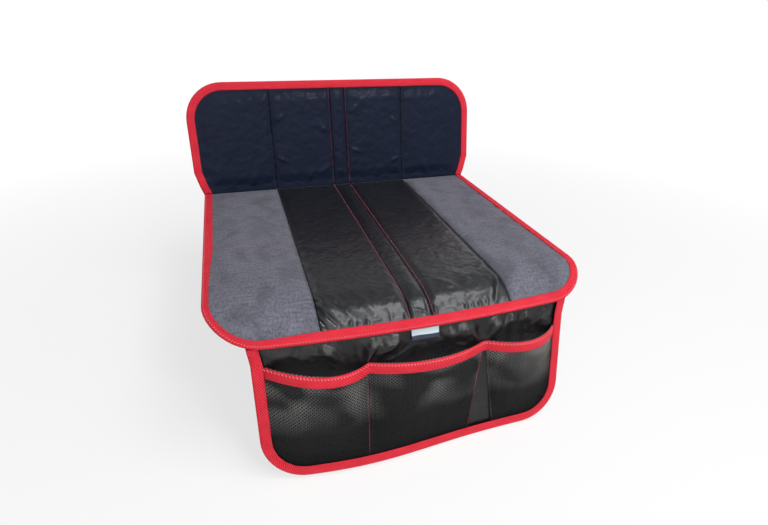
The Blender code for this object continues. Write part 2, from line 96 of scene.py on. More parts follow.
def lower_corner(side, half, low, radius, inset=0.0):
    """A pattern's rounded lower corner, the left one where side is -1 and the right one where it is 1."""
    start = 180 if side < 0 else 270
    return arc(side * (half - radius), low + radius, radius - inset, start, start + 90)


def edge_distance(outline, x, y, closed=True):
    """Distance from a point of a pattern to its cut edge."""
    nearest = 1.0
    for i in range(len(outline) if closed else len(outline) - 1):
        a, b = outline[i], outline[(i + 1) % len(outline)]
        dx, dy = b.x - a.x, b.y - a.y
        share = min(1.0, max(0.0, ((x - a.x) * dx + (y - a.y) * dy) / (dx * dx + dy * dy)))
        nearest = min(nearest, math.hypot(x - a.x - dx * share, y - a.y - dy * share))
    return nearest


def seat_form(x, y, height):
    """Where a point of the seat pad's pattern lies: flat, bulged in plan, its front rolled down."""
    bulge = FRONT_BULGE * (1 - (2 * x / SEAT_WIDTH) ** 2) * smooth(-y, 0, -SEAT_FRONT)
    mitre = HINGE_MITRE * height * smooth(y, SEAT_REAR - 0.020, SEAT_REAR)
    rolled = (SEAT_FRONT + ROLL_LENGTH - y) / ROLL_RADIUS
    if rolled <= 0:
        return Vector((x, y - bulge - mitre, height))
    reach = ROLL_RADIUS + height
    return Vector((
        x, SEAT_FRONT + ROLL_LENGTH - reach * math.sin(rolled) - bulge, reach * math.cos(rolled) - ROLL_RADIUS
    ))


def add_mesh(primitive, **settings):
    """Adds a mesh with one of the operators for primitives, and selects it alone."""
    bpy.ops.object.select_all(action="DESELECT")
    primitive(**settings)
    return bpy.context.object


def span(outline, start, end):
    """The lowest and highest x of an outline between two x lines."""
    return max(start, min(p.x for p in outline)), min(end, max(p.x for p in outline))


def cut_cloth(name, outline, cell, start=-1, end=1):
    """Cuts a flat piece of cloth to an outline between two x lines, in cells, with its pattern as UVs."""
    low_x, high_x = span(outline, start, end)
    low_y, high_y = min(p.y for p in outline), max(p.y for p in outline)
    cloth = add_mesh(
        bpy.ops.mesh.primitive_grid_add,
        x_subdivisions=max(2, round((high_x - low_x) / cell)),
        y_subdivisions=max(2, round((high_y - low_y) / cell)),
        size=1,
        location=((low_x + high_x) / 2, (low_y + high_y) / 2, 0),
    )
    cloth.name = cloth.data.name = name
    cloth.scale = (high_x - low_x, high_y - low_y, 1)
    bpy.ops.object.transform_apply()
    bpy.ops.object.mode_set(mode="EDIT")
    trim(outline, low_x, high_x)
    bpy.ops.object.mode_set(mode="OBJECT")
    pattern_uvs(cloth)
    return cloth


def trim(outline, low_x=-1, high_x=1):
    """Cuts the mesh in edit mode along each stretch of an outline that lies between two x lines."""
    for a, b in zip(outline, outline[1:] + outline[:1]):
        if max(a.x, b.x) > low_x and min(a.x, b.x) < high_x:
            along = (b - a).normalized()
            bpy.ops.mesh.select_all(action="SELECT")
            bpy.ops.mesh.bisect(plane_co=(a.x, a.y, 0), plane_no=(along.y, -along.x, 0), clear_outer=True)


def points_of(mesh):
    """The coordinates of a mesh's points, in one row."""
    points = numpy.empty(len(mesh.vertices) * 3)
    mesh.vertices.foreach_get("co", points)
    return points


def pattern_uvs(cloth):
    """Keeps the flat place of every point, in metres, as the piece's UV map."""
    mesh = cloth.data
    while mesh.uv_layers:
        mesh.uv_layers.remove(mesh.uv_layers[0])
    corners = numpy.empty(len(mesh.loops), dtype=int)
    mesh.loops.foreach_get("vertex_index", corners)
    uvs = points_of(mesh).reshape(-1, 3)[corners, :2]
    mesh.uv_layers.new(name="pattern").data.foreach_set("uv", uvs.ravel())


def lay(cloth, form, height):
    """Lays a flat piece on its form, at a height over it."""
    for vert in cloth.data.vertices:
        x, y = vert.co.x, vert.co.y
        vert.co = form(x, y, height(x, y))


def give(cloth, modifier, **settings):
    """Adds a modifier to a piece and applies it."""
    added = cloth.modifiers.new(modifier.lower(), modifier)
    for setting, value in settings.items():
        setattr(added, setting, value)
    with bpy.context.temp_override(object=cloth, active_object=cloth):
        bpy.ops.object.modifier_apply(modifier=added.name)


def keep(cloth, material, slot, *nodes):
    """Finishes a piece: its material, smooth faces, the body that carries it and what it stands for."""
    cloth.data.materials.clear()
    cloth.data.materials.append(material)
    cloth.data.shade_smooth()
    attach(cloth, "root")
    if nodes:
        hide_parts(*nodes)


def node_adder(tree):
    """A way to add nodes to a tree, with what is linked to them and their settings."""

    def add(kind, links=(), **settings):
        node = tree.nodes.new("ShaderNode" + kind)
        for setting, value in settings.items():
            if hasattr(node, setting):
                setattr(node, setting, value)
            else:
                node.inputs[setting.replace("_", " ")].default_value = value
        for socket, source in dict(links).items():
            tree.links.new(source, node.inputs[socket])
        return node

    return add


def new_material(name, colour, roughness, **values):
    """A procedural material, and a way to add nodes to it."""
    material = bpy.data.materials.new(name)
    material.use_nodes = True
    shader = material.node_tree.nodes["Principled BSDF"]
    shader.inputs["Base Color"].default_value = (*colour, 1)
    shader.inputs["Roughness"].default_value = roughness
    for socket, value in values.items():
        shader.inputs[socket.replace("_", " ")].default_value = value
    return material, node_adder(material.node_tree)


def dress(material, add, base, layers, roughness=None):
    """Links a base colour, bump layers of (height, metres deep) and a roughness to the material's shader."""
    links, inputs = material.node_tree.links, material.node_tree.nodes["Principled BSDF"].inputs
    links.new(base, inputs["Base Color"])
    if roughness is not None:
        links.new(roughness, inputs["Roughness"])
    below = {}
    for height, depth in layers:
        bump = add("Bump", {"Height": height, **below}, Strength=1.0, Distance=depth)
        below = {"Normal": bump.outputs["Normal"]}
    links.new(below["Normal"], inputs["Normal"])
    return material


def pattern_map(add, stretch=(1, 1), turn=0.0):
    """The piece's pattern coordinates, stretched and turned."""
    mapping = add("Mapping", {"Vector": add("UVMap", uv_map="pattern").outputs["UV"]})
    mapping.inputs["Scale"].default_value = (*stretch, 1)
    mapping.inputs["Rotation"].default_value = (0, 0, turn)
    return mapping.outputs["Vector"]


def texture(add, kind, stretch=(1, 1), turn=0.0, **settings):
    """The value of a texture over the piece's pattern."""
    settings.setdefault("Scale", 1.0)
    node = add("Tex" + kind, {"Vector": pattern_map(add, stretch, turn)}, **settings)
    return node.outputs["Distance" if kind == "Voronoi" else "Fac"]


def between(add, factor, first, second):
    """Two colours mixed by a factor."""
    mix = add("Mix", data_type="RGBA")
    for socket, colour in ((6, first), (7, second)):
        if hasattr(colour, "is_output"):
            mix.id_data.links.new(colour, mix.inputs[socket])
        else:
            mix.inputs[socket].default_value = (*colour, 1)
    mix.id_data.links.new(factor, mix.inputs[0])
    return mix.outputs[2]


def spread(add, value, low, high, to_low=0.0, to_high=1.0):
    """A value carried from one range to another, and kept inside it."""
    return add("MapRange", {"Value": value}, clamp=True, **{
        "From_Min": low, "From_Max": high, "To_Min": to_low, "To_Max": to_high
    }).outputs["Result"]


def grip_cloth():
    """Black cloth with rows of small rubber dots."""
    material, add = new_material("grip_backing", (0.030, 0.030, 0.032), 0.80, Sheen_Weight=0.15)
    dot = spread(add, texture(add, "Voronoi", (250, 250), math.radians(45), Randomness=0.0), 0.30, 0.22)
    weave = texture(add, "Noise", (1400, 900), Detail=2.0)
    base = between(add, dot, (0.034, 0.034, 0.036), (0.014, 0.014, 0.015))
    return dress(material, add, base, [(weave, 0.00015), (dot, 0.0005)], spread(add, dot, 0, 1, 0.88, 0.42))


seat_outline = [Vector((-SEAT_WIDTH / 2, SEAT_REAR - HINGE_GAP))]
for side in (-1, 1):
    seat_outline += lower_corner(side, SEAT_WIDTH / 2, SEAT_FRONT, SEAT_CORNER)
seat_outline += [Vector((SEAT_WIDTH / 2, SEAT_REAR - HINGE_GAP))]


def underside(outline, x, y):
    """A pad's underside is flat, and lifts towards its sewn edge."""
    inside = edge_distance(outline, x, y) - TAPE_WIDTH
    return EDGE_LIFT * (1 - min(1.0, max(0.0, inside / EDGE_RISE)))


def make_backing(prefix, outline, form):
    """One layer of cloth over a pad's underside."""
    backing = cut_cloth(f"{prefix}_backing_cloth", outline, BACKING_CELL)
    lay(backing, form, lambda x, y: underside(outline, x, y) + BACKING_LIFT)
    give(backing, "SOLIDIFY", thickness=BACKING_THICKNESS, offset=-1)
    keep(backing, backing_material, "non_slip_backing", f"{prefix}_backing")


backing_material = grip_cloth()
make_backing("seat", seat_outline, seat_form)

# Seat padding: one slab of foam wadding between the backing and the face, full between the seams and
# squeezed where the seams and the edge are sewn through it.
STRIP_WIDTH, BOLSTER_SEAM, SEAM_PINCH, PINCHED = 0.026, 0.118, 0.010, 0.42
SEAT_PADDING, PADDING_CELL = 0.0078, 0.005
EDGE_TOP, SEWN_LOSS, SLAB_GAP, SLAB_LIFT = 0.0025, 0.0014, 0.0006, 0.0011


def padding_top(outline, thickness, x, y):
    """Upper side of the padding."""
    full = smooth(edge_distance(outline, x, y), TAPE_WIDTH, TAPE_WIDTH + EDGE_RISE)
    seam = min(abs(abs(x) - line) for line in (STRIP_WIDTH / 2, BOLSTER_SEAM))
    full *= PINCHED + (1 - PINCHED) * smooth(seam, 0, SEAM_PINCH)
    return underside(outline, x, y) + EDGE_TOP + (thickness - SEWN_LOSS) * full


def make_padding(prefix, outline, form, thickness):
    """A slab with rounded edges, closed all round."""
    slab = cut_cloth(f"{prefix}_wadding", outline, PADDING_CELL)
    low = cut_cloth(f"{prefix}_wadding_low", outline, PADDING_CELL)
    low.data.flip_normals()
    lay(slab, form, lambda x, y: padding_top(outline, thickness, x, y) - SLAB_GAP)
    lay(low, form, lambda x, y: underside(outline, x, y) + SLAB_LIFT)
    bpy.ops.object.select_all(action="DESELECT")
    low.select_set(True)
    slab.select_set(True)
    bpy.context.view_layer.objects.active = slab
    bpy.ops.object.join()
    bpy.ops.object.mode_set(mode="EDIT")
    bpy.ops.mesh.select_all(action="DESELECT")
    bpy.ops.mesh.select_mode(type="EDGE")
    bpy.ops.mesh.select_non_manifold()
    bpy.ops.mesh.bridge_edge_loops()
    bpy.ops.object.mode_set(mode="OBJECT")
    keep(slab, foam_material, "foam_padding", f"{prefix}_padding")


def foam():
    """Pale grey open-cell foam."""
    material, add = new_material("wadding", (0.45, 0.45, 0.43), 0.95)
    cells = texture(add, "Voronoi", (700, 700))
    return dress(material, add, between(add, cells, (0.36, 0.36, 0.34), (0.50, 0.50, 0.47)), [(cells, 0.0004)])


foam_material = foam()
make_padding("seat", seat_outline, seat_form, SEAT_PADDING)

# Seat face: five panels of cloth sewn side by side over the padding. The outer two are brushed charcoal
# cloth, the middle ones black leatherette, which puckers along its seams and wrinkles where it is full.
CLOTH_GROWTH, CLOTH_THICKNESS, SEAM_GAP = 0.013, 0.0009, 0.0003
BOLSTER_CELL, LEATHERETTE_CELL, BOLSTER_FULLNESS = 0.0040, 0.0030, 0.0012
FACE_LIFT, SEAM_DIP, SEWN_WIDTH, FULL_AT, FOLDED_AT = 0.0013, 0.0006, 0.0012, 0.0030, 0.0022
TETHER, RIPPLE, PUFF_FRAMES = 0.42, 0.0006, 20


def in_metres(rows):
    """A table of sizes that is written in millimetres."""
    return [tuple(size / 1000 for size in row) for row in rows]


# each fold, in millimetres: x and y of its ends, its width and its height
SEAT_FOLDS = in_metres([
    (-118, -160, -94, -196, 26, 4.6), (-122, -155, -103, -166, 4.5, 1.6), (-108, -156, -80, -186, 6, -3.4),
    (-121.5, -160, -110, -165.5, 2.6, -3), (-121.5, -167.5, -97, -193.5, 3.6, -5.8),
    (-121.5, -180, -109.5, -197.5, 2.8, -4.4), (-70, -160, -52, -188, 8, 1.4),
    (-83, -190, -83, -200, 3, 1.8), (-75, -192, -74, -200, 2.6, 1.6), (-64, -191, -63, -200, 3.2, 1.6),
    (-36, -188, -36, -200, 4, 1.4), (-10, -172, -8.5, -200, 3.6, 2.6), (8.5, -168, 9.5, -200, 4.2, 3),
    (-9, -188, 8, -193.5, 3.4, 2.6), (-3, -193, -2, -200, 2.6, 1.8), (18.5, -186, 18, -200, 3.4, 2.4),
    (-18.5, -186, -19, -200, 3.4, 1.8), (32, -150, 60, -178, 8, 1.3), (57, -189, 58, -200, 3, 2),
    (66, -190, 66, -200, 2.8, 2), (76, -189, 75, -200, 3.2, 1.8), (87, -188, 85, -200, 3.4, 2),
    (114, -160, 94, -200, 5.5, 3.4), (118, -125, 98, -140, 6, 1.6), (128, -186, 124, -200, 4, 1.4),
    (203, -176, 188, -192, 5, 2), (-150, -180, -152, -200, 6, 1.2), (-178, -176, -184, -194, 6, 1.4),
    (-210, -120, -226, -125, 6, 1), (-214, -66, -228, -66, 6, 1),
])
BACK_FOLDS = in_metres([
    (-113, 60, -94, 52, 6, 1.6), (-113, 120, -96, 130, 6, 1.6), (-19, 40, -40, 30, 6, 1.4),
    (-19, 100, -38, 112, 6, 1.4), (19, 70, 40, 60, 6, 1.4), (19, 130, 36, 142, 6, 1.4),
    (113, 50, 95, 40, 6, 1.6), (113, 110, 96, 120, 6, 1.6), (-60, 12, -52, 36, 7, 1.6),
    (66, 12, 72, 34, 7, 1.6), (-160, 12, -150, 40, 8, 1.8), (165, 12, 158, 40, 8, 1.8),
])


def folded(folds, x, y):
    """Height of the folds at a point of the pattern."""
    total = 0.0
    for x0, y0, x1, y1, width, height in folds:
        dx, dy = x1 - x0, y1 - y0
        share = ((x - x0) * dx + (y - y0) * dy) / (dx * dx + dy * dy)
        if -0.2 < share < 1.2:
            off = ((x - x0) * dy - (y - y0) * dx) / math.hypot(dx, dy)
            height *= math.exp(-((off / (width * 0.55)) ** 2))
            total += height * math.sin(math.pi * (share + 0.2) / 1.4) ** 1.5
    return total


def tape_share(x, y):
    """The share of the seat tape's width that the full cloth leaves bare: least round the front left corner."""
    fore = smooth(-y, 0.0, 0.11)
    return 1 - 0.12 * fore - 0.27 * fore * smooth(-x, 0.10, 0.20)


def face_top(outline, thickness, x, y):
    """Upper side of a pad's face cloth, turned down a little into its seams."""
    seam = min(abs(abs(x) - line) for line in (STRIP_WIDTH / 2, BOLSTER_SEAM))
    return padding_top(outline, thickness, x, y) + FACE_LIFT - SEAM_DIP * (1 - smooth(seam, 0.0004, 0.0016))


def puff(cloth, sewn, growth, pressure, cap, reach):
    """Cloth simulation: the piece has a little more cloth than room, held where it is sewn, and swells.

    No point moves further than the cap, or than its own reach.
    """
    mesh = cloth.data
    start = points_of(mesh)
    held = cloth.vertex_groups.new(name="sewn")
    for vert, weight in zip(mesh.vertices, sewn):
        held.add([vert.index], max(TETHER, weight), "REPLACE")
    for vert, weight in zip(mesh.vertices, sewn):
        ripple = noise.noise(vert.co * 70) + 0.6 * noise.noise(vert.co * 150 + Vector((7, 3, 1)))
        vert.co += vert.normal * RIPPLE * ripple * (1 - weight)
    soft = cloth.modifiers.new("puff", "CLOTH")
    for setting, value in {
        "quality": 5, "mass": 0.1, "tension_stiffness": 12, "compression_stiffness": 12, "shear_stiffness": 4,
        "bending_stiffness": 0.3, "air_damping": 1.0, "vertex_group_mass": "sewn", "shrink_min": -growth,
        "use_pressure": True, "uniform_pressure_force": pressure,
    }.items():
        setattr(soft.settings, setting, value)
    soft.settings.effector_weights.gravity = 0
    soft.collision_settings.use_collision = False
    soft.point_cache.frame_start, soft.point_cache.frame_end = 1, PUFF_FRAMES
    for step in range(1, PUFF_FRAMES + 1):
        bpy.context.scene.frame_set(step)
    end = points_of(cloth.evaluated_get(bpy.context.evaluated_depsgraph_get()).data)
    cloth.modifiers.remove(soft)
    cloth.vertex_groups.remove(held)
    bpy.context.scene.frame_set(1)
    moved = (end - start).reshape(-1, 3)
    far = numpy.linalg.norm(moved, axis=1)
    limit = numpy.minimum(cap, reach)
    moved *= (numpy.minimum(far, limit * numpy.tanh(far / limit)) / numpy.maximum(far, 1e-9))[:, None]
    mesh.vertices.foreach_set("co", start + moved.ravel())
    mesh.update()


def leatherette(name, gloss, dull, dark, light):
    """Black coated cloth: a fine pebble grain, soft creases and a half-gloss face."""
    material, add = new_material(
        name, light, dull, Specular_IOR_Level=gloss, Coat_Weight=gloss / 2, Coat_Roughness=0.20
    )
    pebble = spread(add, texture(add, "Voronoi", (1100, 1100), feature="DISTANCE_TO_EDGE"), 0.0, 0.22)
    creases = texture(add, "Noise", (45, 70), Detail=3.0, Roughness=0.5, Distortion=0.8)
    folds = spread(add, creases, 0.35, 0.70)
    base = between(add, texture(add, "Noise", (22, 22), Detail=3.0), dark, light)
    roughness = spread(add, creases, 0.3, 0.7, dull - 0.06, dull + 0.07)
    return dress(material, add, base, [(folds, 0.0003), (pebble, 0.00006)], roughness)


def product(add, first, second):
    """Two values multiplied."""
    return add("Math", {0: first, 1: second}, operation="MULTIPLY").outputs[0]


def brushed_cloth():
    """Charcoal cloth with a short brushed nap over a plain weave."""
    material, add = new_material(
        "brushed_cloth", (0.150, 0.147, 0.178), 0.88, Specular_IOR_Level=0.15, Sheen_Weight=0.08
    )
    warp = texture(add, "Wave", Scale=290.0, Distortion=1.6, Detail=2.0, Detail_Scale=0.7)
    weft = texture(add, "Wave", Scale=260.0, Distortion=1.8, Detail=2.0, Detail_Scale=0.7, bands_direction="Y")
    streak = texture(add, "Noise", (45, 330), Detail=5.0, Roughness=0.7)
    fleck = texture(add, "Noise", (380, 240), Detail=4.0, Roughness=0.8)
    nap = texture(add, "Noise", (30, 24), Detail=3.0, Distortion=0.5)
    base = between(add, spread(add, streak, 0.35, 0.65), (0.076, 0.078, 0.106), (0.158, 0.158, 0.200))
    base = between(add, spread(add, fleck, 0.42, 0.66, 0.0, 0.85), base, (0.232, 0.232, 0.280))
    base = between(add, spread(add, nap, 0.45, 0.70, 0.0, 0.6), base, (0.080, 0.079, 0.100))
    layers = [(nap, 0.0008), (streak, 0.0004), (product(add, warp, weft), 0.00018), (fleck, 0.00012)]
    return dress(material, add, base, layers)


seat_leatherette = leatherette("seat_leatherette", 0.50, 0.42, (0.006, 0.007, 0.010), (0.011, 0.012, 0.016))
brushed_material = brushed_cloth()


def crease(cloth, rise):
    """Moves each point out of the surface by what its place in the pattern asks."""
    mesh = cloth.data
    layer = mesh.uv_layers["pattern"].uv
    places = {loop.vertex_index: layer[loop.index].vector for loop in mesh.loops}
    normals = [vert.normal.copy() for vert in mesh.vertices]
    for vert, normal in zip(mesh.vertices, normals):
        vert.co += normal * rise(*places[vert.index])


def make_face(prefix, outline, form, thickness, centre_depth, dark_cloth):
    """The five panels of a pad's face, from its left side to its right side."""
    seams = [-1.0, -BOLSTER_SEAM, -STRIP_WIDTH / 2, STRIP_WIDTH / 2, BOLSTER_SEAM, 1.0]
    panels = []
    for part, start, end in zip(
        ("left_bolster", "left_panel", "centre_strip", "right_panel", "right_bolster"), seams, seams[1:]
    ):
        bolster = prefix == "seat" and "bolster" in part
        cell = LEATHERETTE_CELL if prefix == "seat" and not bolster else BOLSTER_CELL
        panel = cut_cloth(f"{prefix}_{part}_cloth", outline, cell, start + SEAM_GAP / 2, end - SEAM_GAP / 2)
        folds, shown = (SEAT_FOLDS, tape_share) if prefix == "seat" else (BACK_FOLDS, lambda x, y: 1.0)
        sewn, room = [], []
        for vert in panel.data.vertices:
            x, y = vert.co.x, vert.co.y
            seam = min(abs(x - start), abs(end - x))
            edge = edge_distance(outline, x, y) - TAPE_WIDTH * shown(x, y) + SEWN_LOSS
            sewn.append(1.0 if min(seam, edge) < SEWN_WIDTH else 0.0)
            room.append(0.0002 + 0.9 * max(0.0, min(seam, edge)))

        def inside(x, y):
            edge = edge_distance(outline, x, y) - TAPE_WIDTH * shown(x, y)
            return min(abs(x - start), abs(end - x), edge)

        def raised(x, y):
            full = smooth(inside(x, y), 0.0, FULL_AT)
            return face_top(outline, thickness, x, y) + (BOLSTER_FULLNESS if bolster else 0.0) * full

        def creased(x, y):
            return folded(folds, x, y) * smooth(inside(x, y), 0.0, FOLDED_AT)

        lay(panel, form, raised)
        growth, cap = (CLOTH_GROWTH / 2, 0.0024) if bolster else (CLOTH_GROWTH, 0.0034)
        puff(panel, sewn, growth, 0.6, cap, numpy.array(room))
        give(panel, "SUBSURF", levels=1, render_levels=1)
        crease(panel, creased)
        give(panel, "SOLIDIFY", thickness=CLOTH_THICKNESS, offset=-1)
        cloth, slot = (brushed_material, "bolster_cloth") if bolster else (dark_cloth, "black_leatherette")
        keep(panel, cloth, slot, f"{prefix}_{part}")
        low_x, high_x = span(outline, start, end)
        panels.append(panel)
    return panels


seat_cloths = make_face("seat", seat_outline, seat_form, SEAT_PADDING, SEAT_DEPTH, seat_leatherette)

# Seat seams: rows of thread sewn through the whole pad. Red thread holds the centre strip, black thread
# the bolsters, and a double row of faded red quilting crosses each bolster.


def thread(name, colour):
    """Twisted thread with a dull shine."""
    material, add = new_material(name, colour, 0.55, Sheen_Weight=0.2)
    fleck = add("TexNoise", {"Vector": add("TexCoord").outputs["Object"]}, Scale=2600.0, Detail=1.0)
    fleck = fleck.outputs["Fac"]
    dull = tuple(0.55 * part for part in colour)
    return dress(material, add, between(add, spread(add, fleck, 0.3, 0.7), dull, colour), [(fleck, 0.0001)])


def make_stitch():
    """One stitch, a grain of thread one unit long, wide and high."""
    grain = add_mesh(bpy.ops.mesh.primitive_uv_sphere_add, segments=6, ring_count=4, radius=0.5)
    grain.rotation_euler = (0, math.pi / 2, 0)
    bpy.ops.object.transform_apply()
    points = numpy.array([vert.co[:] for vert in grain.data.vertices])
    faces = [tuple(face.vertices) for face in grain.data.polygons]
    bpy.data.objects.remove(grain)
    return points, faces


stitch_points, stitch_faces = make_stitch()


def walk(line, pitch):
    """Points a pitch apart along a line of the pattern, with its direction there."""
    left = pitch / 2
    for a, b in zip(line, line[1:]):
        length = (b - a).length
        while left < length:
            yield a + (b - a) * (left / length), (b - a) / length
            left += pitch
        left -= length


def sew(
    name, lines, form, height, cloths, material, slot, pitch=0.0034, length=0.0026, width=0.0006, slant=0.0
):
    """Rows of stitches along lines of the pattern, each lying in the surface of the cloth below it."""
    graph = bpy.context.evaluated_depsgraph_get()
    trees = [BVHTree.FromObject(cloth, graph) for cloth in cloths]
    points, faces = [], []

    def laid(point, over=0.0):
        return form(point.x, point.y, height(point.x, point.y) + over)

    for line in lines:
        for place, along in walk(line, pitch):
            base = laid(place)
            up = (laid(place, 0.001) - base).normalized()
            ahead = laid(place + along * 0.0005) - base
            hits = [tree.ray_cast(base + up * 0.012, -up, 0.024) for tree in trees]
            hits = [hit for hit in hits if hit[0] is not None]
            if hits:
                hit = min(hits, key=lambda found: found[3])
                base, up = hit[0], (hit[1] if hit[1].dot(up) > 0 else -hit[1])
            ahead = (ahead - up * ahead.dot(up)).normalized()
            ahead = math.cos(slant) * ahead + math.sin(slant) * up.cross(ahead)
            frame_axes = numpy.array([ahead * length, up.cross(ahead) * width, up * width * 0.9])
            first = len(points) * len(stitch_points)
            points.append(stitch_points @ frame_axes + numpy.array(base + up * width * 0.12))
            faces += [tuple(first + corner for corner in face) for face in stitch_faces]
    mesh = bpy.data.meshes.new(name)
    mesh.from_pydata(numpy.concatenate(points).tolist(), [], faces)
    keep(new_object(name, mesh), material, slot)


def seat_top(x, y):
    return face_top(seat_outline, SEAT_PADDING, x, y)


def uprights(places, low, high):
    """Straight rows up the pattern, one at each x."""
    return [[Vector((x, low)), Vector((x, high))] for x in places]


red_thread = thread("red_thread", (0.50, 0.020, 0.035))
dark_thread = thread("dark_thread", (0.016, 0.016, 0.018))
STRIP_ROW, SEAM_ROW = STRIP_WIDTH / 2 + 0.0018, 0.0019
seam_low, seam_high = SEAT_FRONT + TAPE_WIDTH - 0.001, SEAT_REAR - 0.006
sew(
    "seat_centre_stitching", uprights((-STRIP_ROW, STRIP_ROW), seam_low, seam_high),
    seat_form, seat_top, seat_cloths, thread("bright_thread", (0.68, 0.11, 0.17)), "red_tape", width=0.0009,
)
inner, outer = BOLSTER_SEAM - SEAM_ROW, BOLSTER_SEAM + SEAM_ROW
sew(
    "seat_bolster_stitching", uprights((-inner, -outer, inner, outer), seam_low, seam_high),
    seat_form, seat_top, seat_cloths, dark_thread, "black_net",
)
sew(
    "seat_quilting",
    [[Vector((side * 0.1215, y)), Vector((side * 0.227, y))] for side in (-1, 1) for y in (-0.017, -0.025)],
    seat_form, seat_top, seat_cloths, thread("faded_thread", (0.30, 0.12, 0.16)), "red_tape",
    pitch=0.0036, length=0.0028, width=0.0005,
)

# Seat binding: red woven tape folded over the pad's cut edge from side to side round the front, and held by
# a row of stitches near its inner edge. It is a little full between the stitches and the fold.
TAPE_LIFT, TAPE_THICKNESS, SELVEDGE_TURN, FOLD_DEPTH = 0.0011, 0.0007, 0.00025, 0.002


def tape_weave():
    """Red polyester tape: slanting ribs with a slightly raised selvedge along both edges."""
    material, add = new_material("red_woven_tape", (0.74, 0.020, 0.042), 0.62, Specular_IOR_Level=0.18)
    slope = math.radians(45)
    ribs = texture(add, "Wave", turn=slope, Scale=131.0, Distortion=0.5, Detail=1.0)
    cross = texture(add, "Wave", turn=-slope, Scale=262.0, Distortion=0.5, Detail=1.0)
    threads = product(add, ribs, spread(add, cross, 0, 1, 0.55, 1.0))
    cloudy = texture(add, "Noise", (60, 160), Detail=3.0)
    worn = texture(add, "Noise", (14, 30), Detail=4.0)
    base = between(add, spread(add, threads, 0.05, 0.80), (0.54, 0.007, 0.018), (0.96, 0.040, 0.074))
    base = between(add, spread(add, cloudy, 0.35, 0.8, 0.0, 0.30), base, (0.92, 0.075, 0.115))
    base = between(add, spread(add, worn, 0.5, 0.85, 0.0, 0.4), base, (0.50, 0.008, 0.018))
    return dress(material, add, base, [(cloudy, 0.0003), (threads, 0.00050)])


def fold_tape(name, path, under, over, form, node, across=None, along=None, shown=None):
    """Tape folded round an edge: its section swept along the path, its fold outside.

    across is the direction of the first and last section, along that of every section, and shown the share of
    the upper side's width that is left bare.
    """
    line = [path[0]]
    for a, b in zip(path, path[1:]):
        steps = max(1, round((b - a).length / 0.003))
        line += [a + (b - a) * (i / steps) for i in range(1, steps + 1)]
    top, low = over + TAPE_LIFT, under - TAPE_LIFT
    middle, half = (top + low) / 2, (top - low) / 2
    depths = [TAPE_WIDTH - 0.0016 * i + 0.0004 for i in range(7)]
    section = [(depth, top) for depth in depths]
    section[0] = (TAPE_WIDTH, top - SELVEDGE_TURN)
    for i in range(7):
        angle = math.radians(15 + 25 * i)
        section.append((0.0013 - (0.0024 if i else 0.0022) * math.sin(angle), middle + half * math.cos(angle)))
    section += [(depth, low) for depth in reversed(depths)]
    section[-1] = (TAPE_WIDTH, low + SELVEDGE_TURN)
    developed = [0.0]
    for a, b in zip(section, section[1:]):
        developed.append(developed[-1] + math.dist(a, b))
    points, uvs, gone = [], [], 0.0
    for i, point in enumerate(line):
        before, after = line[max(0, i - 1)], line[min(len(line) - 1, i + 1)]
        gone += (point - before).length
        ahead = (after - before).normalized()
        inwards = Vector((-ahead.y, ahead.x))
        if along is not None:
            inwards = along
        elif across is not None and i in (0, len(line) - 1):
            inwards = across * math.copysign(1, across.dot(inwards))
        for (depth, height), length in zip(section, developed):
            if shown and height > middle and depth > FOLD_DEPTH:
                bare = (shown(point.x, point.y) * TAPE_WIDTH - FOLD_DEPTH) / (TAPE_WIDTH - FOLD_DEPTH)
                depth = FOLD_DEPTH + (depth - FOLD_DEPTH) * bare
            full = math.sin(math.pi * min(1.0, max(0.0, depth / TAPE_WIDTH)))
            sway = noise.noise(Vector((gone * 90, depth * 60, under * 900)))
            swell = (0.00035 * full + 0.00022 * sway * min(1.0, full * 2)) * (1 if height > middle else 0.4)
            edge = 0.00030 * noise.noise(Vector((gone * 130, 5, height * 500))) * (depth > TAPE_WIDTH - 0.0005)
            place = point + inwards * (depth + edge)
            points.append(form(place.x, place.y, height + math.copysign(swell, height - middle)))
            uvs.append((gone, length))
    rank = len(section)
    faces = [
        (i * rank + j, (i + 1) * rank + j, (i + 1) * rank + j + 1, i * rank + j + 1)
        for i in range(len(line) - 1)
        for j in range(rank - 1)
    ]
    mesh = bpy.data.meshes.new(name)
    mesh.from_pydata(points, [], faces)
    layer = mesh.uv_layers.new(name="pattern")
    for loop in mesh.loops:
        layer.uv[loop.index].vector = uvs[loop.vertex_index]
    tape = new_object(name, mesh)
    mid = len(line) // 2
    outer = mesh.polygons[mid * (rank - 1) + 2]
    x, y = line[mid]
    if outer.normal.dot(form(x, y, 0.01) - form(x, y, 0)) < 0:
        mesh.flip_normals()
    give(tape, "SOLIDIFY", thickness=TAPE_THICKNESS, offset=-1)
    keep(tape, tape_material, "red_tape", node)
    return tape


def inset_line(path, depth):
    """The path moved inwards."""
    moved = []
    for i, point in enumerate(path):
        ahead = (path[min(len(path) - 1, i + 1)] - path[max(0, i - 1)]).normalized()
        moved.append(point + Vector((-ahead.y, ahead.x)) * depth)
    return moved


def sew_tape(name, line, form, height, tape):
    """A tape's own row of stitches."""
    sew(name, [line], form, lambda x, y: height, [tape], red_thread, "red_tape", pitch=0.0032, length=0.0024)


